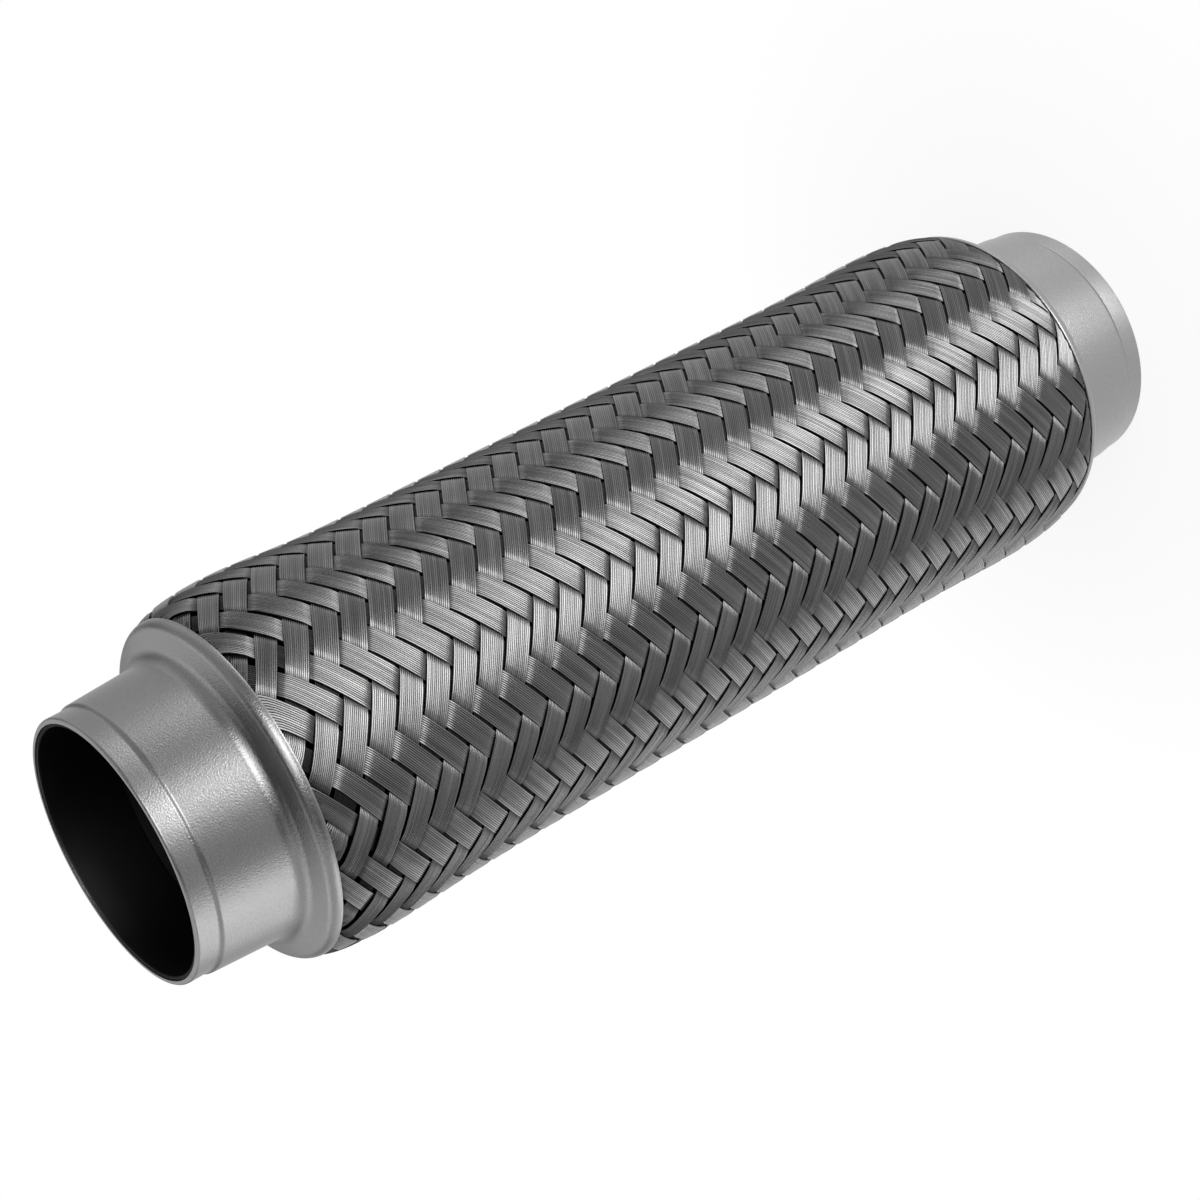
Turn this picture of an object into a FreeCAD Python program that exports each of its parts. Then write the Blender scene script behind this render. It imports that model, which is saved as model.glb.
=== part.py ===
"""Braided exhaust flex pipe, standing on its lower end.

+Z runs up the pipe's axis and the origin is the centre of the lower mouth.
Both ends are alike: a thin sleeve lines the mouth, the two plies of the bellows
and the end of the wire braid lie round it, and a pressed cap grips them all.
A depth is measured along the axis from the nearer mouth.
"""
import FreeCAD, Part
import math
import os

import Sketcher
from FreeCAD import Placement, Rotation, Vector

# Two circles are taken as the same edge when they differ by less, in millimetres
EDGE_MATCH = 1e-5
# Points of the braid's faces are joined when they lie closer, in millimetres
SEW_TOLERANCE = 0.001

doc = FreeCAD.newDocument("exhaust_flex_pipe")

# Driving dimensions, in millimetres, and plain counts
SIZES = {
    "overall_length": 250.0,
    "bore_radius": 25.25,
    "sleeve_wall": 0.6,
    "sleeve_length": 15.0,
    "sleeve_recess": 0.3,
    "sleeve_round": 0.2,
    "fit_gap": 0.05,
    "cap_wall": 1.0,
    "lip_gap": 0.15,
    "lip_length": 4.6,
    "lip_round": 0.6,
    "step_length": 0.6,
    "step_rise": 0.5,
    "neck_length": 21.4,
    "neck_rise": 1.5,
    "root_round": 1.7,
    "flank_depth": 2.3,
    "shoulder_round": 2.2,
    "rim_radius": 34.9,
    "rim_depth": 25.6,
    "rim_round": 0.3,
    "ply_wall": 0.2,
    "cuff_depth": 6.0,
    "bellows_depth": 30.0,
    "crest_height": 7.6,
    "crest_slope": 1.2,
    "crest_count": 13,
    "liner_wall": 1.4,
    "seam_pitch": 9.0,
    "seam_depth": 0.9,
    "seam_width": 1.4,
    "braid_start": 13.0,
    "braid_end_wall": 0.3,
    "braid_wall": 0.6,
    "braid_relief": 0.5,
    "braid_clearance": 0.85,
    "bulge_rise_upper": 1.4,
    "bulge_rise_lower": 0.8,
    "braid_bulge_depth": 40.0,
    "braid_bulge_width": 16.0,
    "braid_swell_power": 0.34,
    "strands_each_way": 24,
    "crossing_rows": 64,
    "gap_rows_at_end": 2,
    "gap_share": 0.22,
    "ridge_overhang": 0.15,
}

# Sizes that follow from the driving ones
WORKED = {
    "sleeve_end": "Sizes.sleeve_recess + Sizes.sleeve_length",
    "sleeve_outer": "Sizes.bore_radius + Sizes.sleeve_wall",
    "lip_inner": "sleeve_outer + Sizes.lip_gap",
    "lip_outer": "lip_inner + Sizes.cap_wall",
    "step_end": "Sizes.lip_length + Sizes.step_length",
    "neck_outer": "lip_outer + Sizes.step_rise",
    "neck_inner": "neck_outer - Sizes.cap_wall",
    "root_outer": "lip_outer + Sizes.neck_rise",
    "root_inner": "root_outer - Sizes.cap_wall",
    "rim_inner": "Sizes.rim_radius - Sizes.cap_wall",
    "flank_end": "Sizes.neck_length + Sizes.flank_depth",
    "flank_angle": "atan((Sizes.rim_radius - root_outer) / Sizes.flank_depth)",
    "step_angle": "atan(Sizes.step_rise / Sizes.step_length)",
    "flank_shift": "Sizes.cap_wall * tan(flank_angle / 2)",
    "step_shift": "Sizes.cap_wall * tan(step_angle / 2)",
    "lip_end_inside": "Sizes.lip_length + step_shift",
    "step_end_inside": "step_end + step_shift",
    "neck_end_inside": "Sizes.neck_length + flank_shift",
    "flank_end_inside": "flank_end + flank_shift",
    "root_round_inside": "Sizes.root_round + Sizes.cap_wall",
    "shoulder_round_inside": "Sizes.shoulder_round - Sizes.cap_wall",
    "cuff_end": "Sizes.overall_length - Sizes.cuff_depth",
    "crest_span": "Sizes.overall_length - 2 * Sizes.bellows_depth",
    "crest_pitch": "crest_span / Sizes.crest_count",
    "crest_steps": "crest_span - crest_pitch",
    "crest_flat": "crest_pitch / 2 - Sizes.crest_slope",
    "crest_angle": "atan(Sizes.crest_height / Sizes.crest_slope)",
    "crest_foot": "Sizes.bellows_depth + crest_flat / 2",
    "inner_ply_bore": "sleeve_outer + Sizes.fit_gap",
    "outer_ply_bore": "inner_ply_bore + Sizes.ply_wall + Sizes.fit_gap",
    "cuff_outer": "outer_ply_bore + Sizes.ply_wall",
    "liner_outer": "sleeve_outer - Sizes.fit_gap",
    "liner_inner": "liner_outer - Sizes.liner_wall",
    "liner_start": "sleeve_end + Sizes.sleeve_recess",
    "liner_end": "Sizes.overall_length - liner_start",
    "seam_count": "floor((liner_end - liner_start) / Sizes.seam_pitch)",
    "seam_span": "(seam_count - 1) * Sizes.seam_pitch",
    "seam_bottom": "liner_inner + Sizes.seam_depth",
    "seam_middle": "(Sizes.overall_length - seam_span) / 2",
    "seam_low": "seam_middle - Sizes.seam_width / 2",
    "seam_high": "seam_middle + Sizes.seam_width / 2",
    "crest_outer": "cuff_outer + Sizes.crest_height",
    "braid_inner": "crest_outer + Sizes.braid_clearance",
    "braid_middle_radius": "braid_inner + Sizes.braid_wall + Sizes.braid_relief",
}


def add_surface_sizes(name, radius):
    """Radii and heights of one side of a ply, at the lowest fold of the bellows."""
    WORKED[name + "_root"] = radius
    WORKED[name + "_crest"] = name + "_root + Sizes.crest_height"
    WORKED[name + "_shift"] = f"({name}_root - inner_ply_bore) * tan(crest_angle / 2)"
    WORKED[name + "_foot"] = f"crest_foot - {name}_shift"
    WORKED[name + "_rise"] = f"{name}_foot + Sizes.crest_slope"
    WORKED[name + "_fall"] = f"{name}_rise + crest_flat + 2 * {name}_shift"
    WORKED[name + "_heel"] = f"{name}_fall + Sizes.crest_slope"


add_surface_sizes("inner_ply_inside", "inner_ply_bore")
add_surface_sizes("inner_ply_outside", "inner_ply_bore + Sizes.ply_wall")
add_surface_sizes("outer_ply_inside", "outer_ply_bore")
add_surface_sizes("outer_ply_outside", "cuff_outer")


def fill_sheet(name, rows):
    """One row for each size: its name, and its value under that name as alias."""
    sheet = doc.addObject("Spreadsheet::Sheet", name)
    for number, (alias, value) in enumerate(rows.items(), start=1):
        sheet.set(f"A{number}", alias)
        sheet.set(f"B{number}", str(value))
        sheet.setAlias(f"B{number}", alias)
    doc.recompute()
    return sheet


sheets = {
    "Sizes": fill_sheet("Sizes", SIZES),
    "Worked": fill_sheet("Worked", {alias: "=" + text for alias, text in WORKED.items()}),
}


def full_name(alias):
    return ("Sizes." if alias in SIZES else "Worked.") + alias


def size(alias):
    """The present value of a size."""
    sheet = sheets[full_name(alias).split(".")[0]]
    value = sheet.get(alias)
    return float(getattr(value, "Value", value))


def add_body(label):
    body = doc.addObject("PartDesign::Body", label)
    body.Label = label
    return body


def upright_plane(body):
    for feature in body.Origin.OriginFeatures:
        if feature.Role == "XZ_Plane":
            return feature
    raise RuntimeError("the body has no XZ plane")


def add_outline(body, name, corners):
    """A closed outline of straight lines; a corner is (radius, height), by size name."""
    sketch = body.newObject("Sketcher::SketchObject", name)
    sketch.AttachmentSupport = [(upright_plane(body), "")]
    sketch.MapMode = "FlatFace"
    spots = [(size(radius), size(height) if height else 0.0) for radius, height in corners]
    following = spots[1:] + spots[:1]
    for start, end in zip(spots, following):
        sketch.addGeometry(Part.LineSegment(Vector(*start, 0), Vector(*end, 0)), False)
    for line in range(len(corners)):
        following_line = (line + 1) % len(corners)
        sketch.addConstraint(Sketcher.Constraint("Coincident", line, 2, following_line, 1))
    for line, (radius, height) in enumerate(corners):
        across = Sketcher.Constraint("DistanceX", -1, 1, line, 1, spots[line][0])
        number = sketch.addConstraint(across)
        sketch.setExpression(f"Constraints[{number}]", full_name(radius))
        if not height:
            sketch.addConstraint(Sketcher.Constraint("PointOnObject", line, 1, -1))
            continue
        up = Sketcher.Constraint("DistanceY", -1, 1, line, 1, spots[line][1])
        number = sketch.addConstraint(up)
        sketch.setExpression(f"Constraints[{number}]", full_name(height))
    return sketch


def turn_outline(body, name, kind, corners):
    """Turns an outline round the pipe's axis: kind is Revolution or Groove."""
    sketch = add_outline(body, name + "_outline", corners)
    feature = body.newObject("PartDesign::" + kind, name)
    feature.Profile = sketch
    feature.ReferenceAxis = (sketch, ["V_Axis"])
    feature.Angle = 360
    doc.recompute()
    return feature


def round_edges(body, name, radius, spots):
    """Rounds the circular edges of the given radius and height, by size name."""
    base = body.Tip
    names = []
    for number, edge in enumerate(base.Shape.Edges, start=1):
        curve = edge.Curve
        if not isinstance(curve, Part.Circle):
            continue
        for edge_radius, height in spots:
            level = size(height) if height else 0.0
            near = abs(curve.Radius - size(edge_radius)) < EDGE_MATCH
            if near and abs(curve.Center.z - level) < EDGE_MATCH:
                names.append(f"Edge{number}")
    if len(names) != len(spots):
        raise RuntimeError("an edge to round is missing in " + name)
    fillet = body.newObject("PartDesign::Fillet", name)
    fillet.Base = (base, names)
    fillet.Radius = size(radius)
    fillet.setExpression("Radius", full_name(radius))
    doc.recompute()


def repeat_up(body, name, features, length, count):
    """Copies features up the axis: the copies fill a length, by size name."""
    pattern = body.newObject("PartDesign::LinearPattern", name)
    pattern.Originals = features
    pattern.Direction = (features[0].Profile[0], ["V_Axis"])
    pattern.Length = size(length)
    pattern.Occurrences = int(size(count))
    pattern.setExpression("Length", full_name(length))
    pattern.setExpression("Occurrences", full_name(count))
    body.Tip = pattern
    doc.recompute()


def place_at_end(body, end):
    """Every end piece is drawn at the lower mouth; the upper one is turned over."""
    if end == "upper":
        body.Placement = Placement(Vector(0, 0, size("overall_length")),
                                   Rotation(Vector(1, 0, 0), 180))
        body.setExpression(".Placement.Base.z", full_name("overall_length"))


def make_end_cap(end):
    """Pressed cap: lip, small step, tapered neck, flared shoulder and short rim."""
    body = add_body(f"end_cap_{end}")
    turn_outline(body, f"cap_sheet_{end}", "Revolution", [
        ("lip_outer", None),
        ("lip_outer", "lip_length"),
        ("neck_outer", "step_end"),
        ("root_outer", "neck_length"),
        ("rim_radius", "flank_end"),
        ("rim_radius", "rim_depth"),
        ("rim_inner", "rim_depth"),
        ("rim_inner", "flank_end_inside"),
        ("root_inner", "neck_end_inside"),
        ("neck_inner", "step_end_inside"),
        ("lip_inner", "lip_end_inside"),
        ("lip_inner", None),
    ])
    round_edges(body, f"root_{end}", "root_round", [("root_outer", "neck_length")])
    round_edges(body, f"root_inside_{end}", "root_round_inside",
                [("root_inner", "neck_end_inside")])
    round_edges(body, f"shoulder_{end}", "shoulder_round", [("rim_radius", "flank_end")])
    round_edges(body, f"shoulder_inside_{end}", "shoulder_round_inside",
                [("rim_inner", "flank_end_inside")])
    round_edges(body, f"lip_{end}", "lip_round", [("lip_outer", None)])
    round_edges(body, f"rim_{end}", "rim_round", [("rim_radius", "rim_depth")])
    place_at_end(body, end)
    return body


def make_inner_sleeve(end):
    """Short sleeve that lines the mouth and that the joining pipe slides into."""
    body = add_body(f"inner_sleeve_{end}")
    turn_outline(body, f"sleeve_wall_{end}", "Revolution", [
        ("bore_radius", "sleeve_recess"),
        ("sleeve_outer", "sleeve_recess"),
        ("sleeve_outer", "sleeve_end"),
        ("bore_radius", "sleeve_end"),
    ])
    round_edges(body, f"sleeve_mouth_{end}", "sleeve_round", [
        ("bore_radius", "sleeve_recess"),
        ("sleeve_outer", "sleeve_recess"),
    ])
    place_at_end(body, end)
    return body


def make_bellows_ply(ply):
    """One ply of the bellows: a thin tube with a straight cuff at each end and folds."""
    inside, outside = f"{ply}_ply_inside", f"{ply}_ply_outside"
    body = add_body(f"bellows_{ply}_ply")
    turn_outline(body, f"{ply}_ply_tube", "Revolution", [
        (inside + "_root", "cuff_depth"),
        (outside + "_root", "cuff_depth"),
        (outside + "_root", "cuff_end"),
        (inside + "_root", "cuff_end"),
    ])
    opening = turn_outline(body, f"{ply}_ply_opening", "Groove", [
        (inside + "_root", inside + "_foot"),
        (outside + "_root", outside + "_foot"),
        (outside + "_root", outside + "_heel"),
        (inside + "_root", inside + "_heel"),
    ])
    fold = turn_outline(body, f"{ply}_ply_fold", "Revolution", [
        (inside + "_root", inside + "_foot"),
        (outside + "_root", outside + "_foot"),
        (outside + "_crest", outside + "_rise"),
        (outside + "_crest", outside + "_fall"),
        (outside + "_root", outside + "_heel"),
        (inside + "_root", inside + "_heel"),
        (inside + "_crest", inside + "_fall"),
        (inside + "_crest", inside + "_rise"),
    ])
    repeat_up(body, f"{ply}_ply_folds", [opening, fold], "crest_steps", "crest_count")
    return body


def make_liner():
    """Strip-wound liner: a tube whose inside shows the seam of each turn of strip."""
    body = add_body("interlock_liner")
    turn_outline(body, "liner_wall_tube", "Revolution", [
        ("liner_inner", "liner_start"),
        ("liner_outer", "liner_start"),
        ("liner_outer", "liner_end"),
        ("liner_inner", "liner_end"),
    ])
    seam = turn_outline(body, "liner_seam", "Groove", [
        ("liner_inner", "seam_low"),
        ("seam_bottom", "seam_middle"),
        ("liner_inner", "seam_high"),
    ])
    repeat_up(body, "liner_seams", [seam], "seam_span", "seam_count")
    return body


def braid_radius(depth, end):
    """Radius of the strands' tops: they swell just past the rim and settle to the middle."""
    middle = size("braid_middle_radius")
    swell = size("bulge_rise_" + end)
    from_bulge = depth - size("braid_bulge_depth")
    if from_bulge > 0:
        return middle + swell * math.exp(-(from_bulge / size("braid_bulge_width")) ** 2)
    under_rim = size("rim_inner") - size("fit_gap")
    run = (depth - size("rim_depth")) / (size("braid_bulge_depth") - size("rim_depth"))
    rise = math.sin(math.pi / 2 * max(run, 0.0)) ** size("braid_swell_power")
    return under_rim + (middle + swell - under_rim) * rise


class BraidMesh:
    """Gathers the flat faces of the braid's wall.

    A place on the braid is (step, row): steps run round the pipe and rows run up
    it, two steps for each strand of one family.  Strand edges cross where step
    and row are both even or both odd, and strands cross halfway between.
    """

    def __init__(self):
        self.points = []
        self.faces = []
        self.numbers = {}
        self.steps = 2 * int(size("strands_each_way"))
        # Rows are counted both ways from the middle, and the last one is even
        self.last_row = 2 * (int(size("crossing_rows")) // 4)
        self.middle = size("overall_length") / 2
        self.first_depth = size("rim_depth") + size("fit_gap")
        self.row_height = (self.middle - self.first_depth) / self.last_row
        ends = range(1, int(size("gap_rows_at_end")) + 1)
        self.gap_rows = [side * (self.last_row - 2 * place) for side in (1, -1) for place in ends]

    def tops(self, row):
        depth = self.middle - abs(row) * self.row_height
        return braid_radius(depth, "upper" if row > 0 else "lower")

    def point(self, step, radius, height):
        """The number of a point; a point that was asked for before is used again."""
        turn = round(step % self.steps, 4) % self.steps
        key = (turn, round(radius, 4), round(height, 4))
        if key not in self.numbers:
            angle = 2 * math.pi * turn / self.steps
            self.numbers[key] = len(self.points)
            self.points.append(Vector(radius * math.cos(angle), radius * math.sin(angle), height))
        return self.numbers[key]

    def on_row(self, step, row, sunk):
        """A point at a place on the braid, sunk below the strands' tops."""
        return self.point(step, self.tops(row) - sunk, self.middle + row * self.row_height)

    def valley(self, step, row):
        return self.on_row(step, row, size("braid_relief"))

    def inner(self, step, row):
        return self.on_row(step, row, size("braid_relief") + size("braid_wall"))

    def is_gap(self, step, row):
        return row in self.gap_rows and step % 2 == 0

    def corner_points(self, place, before, after, make):
        """The corner itself, or at a gap one point on the way to each neighbour."""
        if not self.is_gap(*place):
            return [make(*place), make(*place)]
        share = size("gap_share")
        found = []
        for neighbour in (before, after):
            across, up = neighbour[0] - place[0], neighbour[1] - place[1]
            reach = share / max(abs(across), abs(up))
            found.append(make(place[0] + reach * across, place[1] + reach * up))
        return found

    def add_float(self, corners, ridge):
        """One strand where it lies on top: a hipped roof over its outline.

        A corner is (place, ridge end before it, ridge end after it).
        """
        tops = [self.on_row(step, row, 0.0) for step, row in ridge]
        walk = []
        for number, (place, end_before, end_after) in enumerate(corners):
            before = corners[number - 1][0]
            after = corners[(number + 1) % len(corners)][0]
            first, second = self.corner_points(place, before, after, self.valley)
            walk += [(first, end_before), (second, end_after)]
        for (start, end_1), (stop, end_2) in zip(walk, walk[1:] + walk[:1]):
            if start != stop:
                self.faces.append((start, stop, tops[end_1]))
            if end_1 != end_2:
                self.faces.append((stop, tops[end_2], tops[end_1]))

    def add_half_float(self, step, row):
        """A strand that is cut off by the end of the weave, over one crossing."""
        corners = [((step - 1, row), 0, 0), ((step, row - 1), 0, 0),
                   ((step + 1, row), 0, 0), ((step, row + 1), 0, 0)]
        self.add_float(corners, [(step, row)])

    def add_weave(self):
        """Every strand passes over two others and then under two."""
        over = size("ridge_overhang")
        rows = range(1 - self.last_row, self.last_row)
        for row in rows:
            for step in range(self.steps):
                if (step + row) % 2 == 0:
                    continue
                rising = step % 4 < 2
                lean = 1 if rising else -1
                first = step % 2 == 0
                partner = row + lean if first else row - lean
                if partner not in rows:
                    self.add_half_float(step, row)
                    continue
                if not first:
                    continue
                ridge = [(step - over, row - lean * over),
                         (step + 1 + over, row + lean * (1 + over))]
                if rising:
                    corners = [((step - 1, row), 0, 0), ((step, row - 1), 0, 0),
                               ((step + 1, row), 0, 1), ((step + 2, row + 1), 1, 1),
                               ((step + 1, row + 2), 1, 1), ((step, row + 1), 1, 0)]
                else:
                    corners = [((step - 1, row), 0, 0), ((step, row - 1), 0, 1),
                               ((step + 1, row - 2), 1, 1), ((step + 2, row - 1), 1, 1),
                               ((step + 1, row), 1, 0), ((step, row + 1), 0, 0)]
                self.add_float(corners, ridge)

    def add_inner_side(self):
        """The wall's inner side: flat faces two steps wide and two rows high."""
        for row in range(-self.last_row, self.last_row, 2):
            for step in range(0, self.steps, 2):
                places = [(step, row), (step, row + 2), (step + 2, row + 2), (step + 2, row)]
                loop = []
                for number, place in enumerate(places):
                    before, after = places[number - 1], places[(number + 1) % 4]
                    for point in self.corner_points(place, before, after, self.inner):
                        if point not in loop:
                            loop.append(point)
                for second, third in zip(loop[1:], loop[2:]):
                    self.faces.append((loop[0], second, third))

    def add_gap_walls(self):
        """Joins the wall's two sides round each gap between strands.

        Outside, a gap is three-cornered, because one strand's edge runs straight
        past it.  Inside, it has four corners.
        """
        share = size("gap_share")
        diagonals = ((1, 1), (-1, 1), (-1, -1), (1, -1))
        straights = ((1, 0), (0, 1), (-1, 0), (0, -1))
        for row in self.gap_rows:
            for step in range(0, self.steps, 2):
                outside = [self.valley(step + across * share, row + up * share)
                           for across, up in diagonals]
                inside = [self.inner(step + across * share, row + up * share)
                          for across, up in straights]
                covered = 3 if step % 4 == 0 else 0
                outside[covered] = outside[covered - 1]
                for number in range(4):
                    following = (number + 1) % 4
                    start, stop = outside[number], outside[following]
                    self.faces.append((start, inside[following], inside[number]))
                    if start != stop:
                        self.faces.append((inside[following], start, stop))

    def tucked_rings(self):
        """Outline of the end under the cap: (radius, depth) outside and inside."""
        gap = size("lip_gap")
        wall = size("braid_wall")
        angle = math.radians(size("flank_angle"))
        run = size("shoulder_round_inside") * math.tan(angle / 2)
        inner_end = (size("cuff_outer") + size("fit_gap")) / math.cos(2 * math.pi / self.steps)
        outer_end = inner_end + size("braid_end_wall")
        neck_depth = size("neck_end_inside")
        flank = (size("rim_inner") - run * math.sin(angle) - gap * math.cos(angle),
                 size("flank_end_inside") - run * math.cos(angle) + gap * math.sin(angle))
        rim = (size("rim_inner") - gap, size("flank_end_inside") + run)
        outside = [rim, flank, (outer_end, neck_depth), (outer_end, size("braid_start"))]
        inside = [(rim[0] - wall, rim[1] + gap),
                  (flank[0] - wall * math.cos(angle), flank[1] + wall * math.sin(angle)),
                  (inner_end, neck_depth + wall),
                  (inner_end, size("braid_start"))]
        return outside, inside

    def ring_at(self, radius, depth, side):
        """One point for each even step, at an end of the pipe: side is 1 above, -1 below."""
        height = self.middle + side * (self.middle - depth)
        return [self.point(step, radius, height) for step in range(0, self.steps, 2)]

    def join_rings(self, lower, upper):
        """A band of faces that look outwards when the first ring is the lower one."""
        count = len(lower)
        for place in range(count):
            following = (place + 1) % count
            self.faces.append((lower[place], lower[following], upper[following]))
            self.faces.append((lower[place], upper[following], upper[place]))

    def add_end(self, side):
        row = side * self.last_row
        outside, inside = self.tucked_rings()
        for step in range(0, self.steps, 2):
            tip = self.valley(step + 1, row - side)
            pair = [self.valley(step, row), self.valley(step + 2, row)]
            if side > 0:
                pair.reverse()
            self.faces.append((pair[0], pair[1], tip))
        rings = [[self.valley(step, row) for step in range(0, self.steps, 2)]]
        rings += [self.ring_at(radius, depth, side) for radius, depth in outside]
        rings += [self.ring_at(radius, depth, side) for radius, depth in reversed(inside)]
        rings += [[self.inner(step, row) for step in range(0, self.steps, 2)]]
        for nearer, farther in zip(rings, rings[1:]):
            if side > 0:
                self.join_rings(nearer, farther)
            else:
                self.join_rings(farther, nearer)

    def solid(self):
        shell = Part.Shape()
        shell.makeShapeFromMesh((self.points, self.faces), SEW_TOLERANCE, True)
        solid = Part.makeSolid(shell)
        if solid.Volume < 0:
            solid.reverse()
        return solid


def make_outer_braid():
    """Woven wire sleeve, as one wall: strands in relief, with gaps beside the caps."""
    mesh = BraidMesh()
    mesh.add_weave()
    mesh.add_inner_side()
    mesh.add_gap_walls()
    for side in (1, -1):
        mesh.add_end(side)
    feature = doc.addObject("Part::Feature", "outer_braid")
    feature.Label = "outer_braid"
    feature.Shape = mesh.solid()
    feature.Placement = Placement(Vector(0, 0, 0), Rotation())
    return feature


pieces = [make_outer_braid(), make_liner()]
for ply_name in ("inner", "outer"):
    pieces.append(make_bellows_ply(ply_name))
for end_name in ("lower", "upper"):
    pieces.append(make_end_cap(end_name))
    pieces.append(make_inner_sleeve(end_name))

doc.recompute()
for item in doc.Objects:
    if "Invalid" in item.State or "Error" in item.State:
        raise RuntimeError(f"{item.Label} failed: {item.State}")
for piece in pieces:
    if piece.Shape.isNull() or not piece.Shape.isValid() or len(piece.Shape.Solids) != 1:
        raise RuntimeError(f"{piece.Label} is not one sound solid")

os.makedirs("parts", exist_ok=True)
for piece in pieces:
    piece.Shape.exportStep(f"parts/{piece.Label}.step")
    print(piece.Label, "volume", round(piece.Shape.Volume, 1))
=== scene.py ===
"""Looks of a braided exhaust flex pipe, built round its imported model.

The pipe stands on its lower mouth with +Z up its axis, in metres.  The woven sleeve is
modelled strand by strand, and both end caps are spun from one outline.  A place on the
sleeve is (step, row): steps run round the pipe and rows run up it, two steps for each
strand of one family.  A depth is measured along the axis from the nearer mouth.
"""

import math

import bmesh
import bpy
import numpy as np
from bpy.props import FloatProperty, FloatVectorProperty, IntProperty, PointerProperty
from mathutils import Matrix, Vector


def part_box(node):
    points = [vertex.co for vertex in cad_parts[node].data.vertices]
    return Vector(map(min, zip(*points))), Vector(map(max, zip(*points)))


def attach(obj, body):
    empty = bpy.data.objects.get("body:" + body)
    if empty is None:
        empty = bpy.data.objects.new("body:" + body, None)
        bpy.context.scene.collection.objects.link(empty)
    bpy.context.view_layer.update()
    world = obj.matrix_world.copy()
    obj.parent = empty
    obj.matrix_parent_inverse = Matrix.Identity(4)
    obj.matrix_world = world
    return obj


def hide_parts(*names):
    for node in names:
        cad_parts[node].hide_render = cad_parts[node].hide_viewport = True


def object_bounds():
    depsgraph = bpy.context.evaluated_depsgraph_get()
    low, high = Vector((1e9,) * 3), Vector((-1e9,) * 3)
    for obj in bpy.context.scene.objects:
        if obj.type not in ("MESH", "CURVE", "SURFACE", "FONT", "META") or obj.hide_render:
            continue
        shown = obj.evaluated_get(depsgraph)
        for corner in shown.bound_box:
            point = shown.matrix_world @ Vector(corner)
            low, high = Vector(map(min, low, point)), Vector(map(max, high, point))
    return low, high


bl_info = {
    "name": "Exhaust Flex Pipe",
    "version": (1, 0, 0),
    "blender": (4, 5, 0),
    "location": "View3D > Sidebar > Flex Pipe",
    "description": "Strands, end caps, steel finishes and studio for a braided flex pipe",
    "category": "Add Mesh",
}

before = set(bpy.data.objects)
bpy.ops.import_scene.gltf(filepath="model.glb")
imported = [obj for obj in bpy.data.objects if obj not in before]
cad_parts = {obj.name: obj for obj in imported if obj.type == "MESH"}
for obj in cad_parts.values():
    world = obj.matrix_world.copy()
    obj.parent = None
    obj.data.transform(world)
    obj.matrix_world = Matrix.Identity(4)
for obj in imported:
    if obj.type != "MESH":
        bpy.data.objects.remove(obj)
CAD_BOUNDS = [list(corner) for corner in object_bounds()]
PIPE_LENGTH = CAD_BOUNDS[1][2]
PIPE_MIDDLE = PIPE_LENGTH / 2
RIM_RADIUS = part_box("end_cap_upper")[1].x
RIM_DEPTH = PIPE_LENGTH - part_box("end_cap_upper")[0].z


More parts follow.
